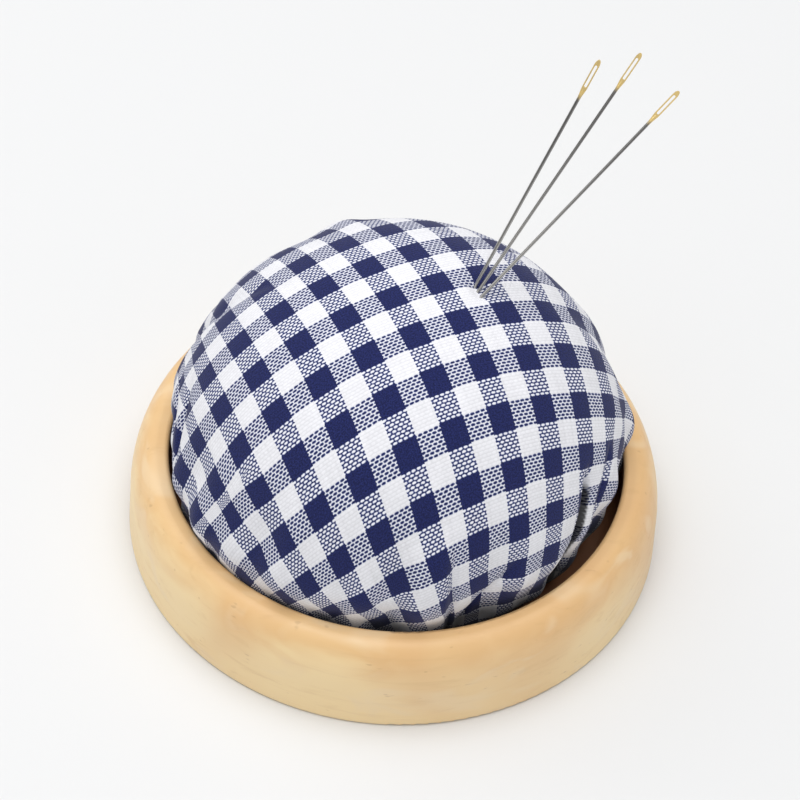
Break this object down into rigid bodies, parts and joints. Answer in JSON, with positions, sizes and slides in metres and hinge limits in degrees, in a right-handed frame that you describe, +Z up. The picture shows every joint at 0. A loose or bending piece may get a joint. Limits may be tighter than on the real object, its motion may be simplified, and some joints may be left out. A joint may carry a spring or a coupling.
{
  "type": "pin cushion",
  "caption": "Domed checked-cotton pin cushion set in a round turned wooden dish, with gold-eyed sewing needles pushed into its crown.",
  "frame": {"origin": "centre of the wooden dish's flat underside, on the surface that it stands on", "axes": "+Z up through the crown of the cushion; +X to the side that the needles lean towards; -Y is the front"},
  "size_m": [0.0704, 0.0704, 0.0702],
  "materials": {
    "dish_wood": "satin",
    "glue": "satin",
    "thread": "matte",
    "card": "matte",
    "fibre_fill": "matte",
    "gingham": "matte",
    "needle_steel": "polished"
  },
  "bodies": {
    "cushion": {"wooden_base": "dish_wood", "glue_pad": "glue", "gathering_thread": "thread", "backing_disc": "card", "stuffing_core": "fibre_fill", "cushion_cover": "gingham"},
    "needle_left": {"needle_left": "needle_steel"},
    "needle_middle": {"needle_middle": "needle_steel"},
    "needle_right": {"needle_right": "needle_steel"}
  },
  "joints": [
    {"name": "left_pull", "type": "slide", "parent": "cushion", "child": "needle_left", "axis": [0.382, 0.3476, 0.8563], "range_m": [0, 0.0123]},
    {"name": "middle_pull", "type": "slide", "parent": "cushion", "child": "needle_middle", "axis": [0.4871, 0.4511, 0.7478], "range_m": [0, 0.0098]},
    {"name": "right_pull", "type": "slide", "parent": "cushion", "child": "needle_right", "axis": [0.6323, 0.4611, 0.6225], "range_m": [0, 0.0103]}
  ]
}
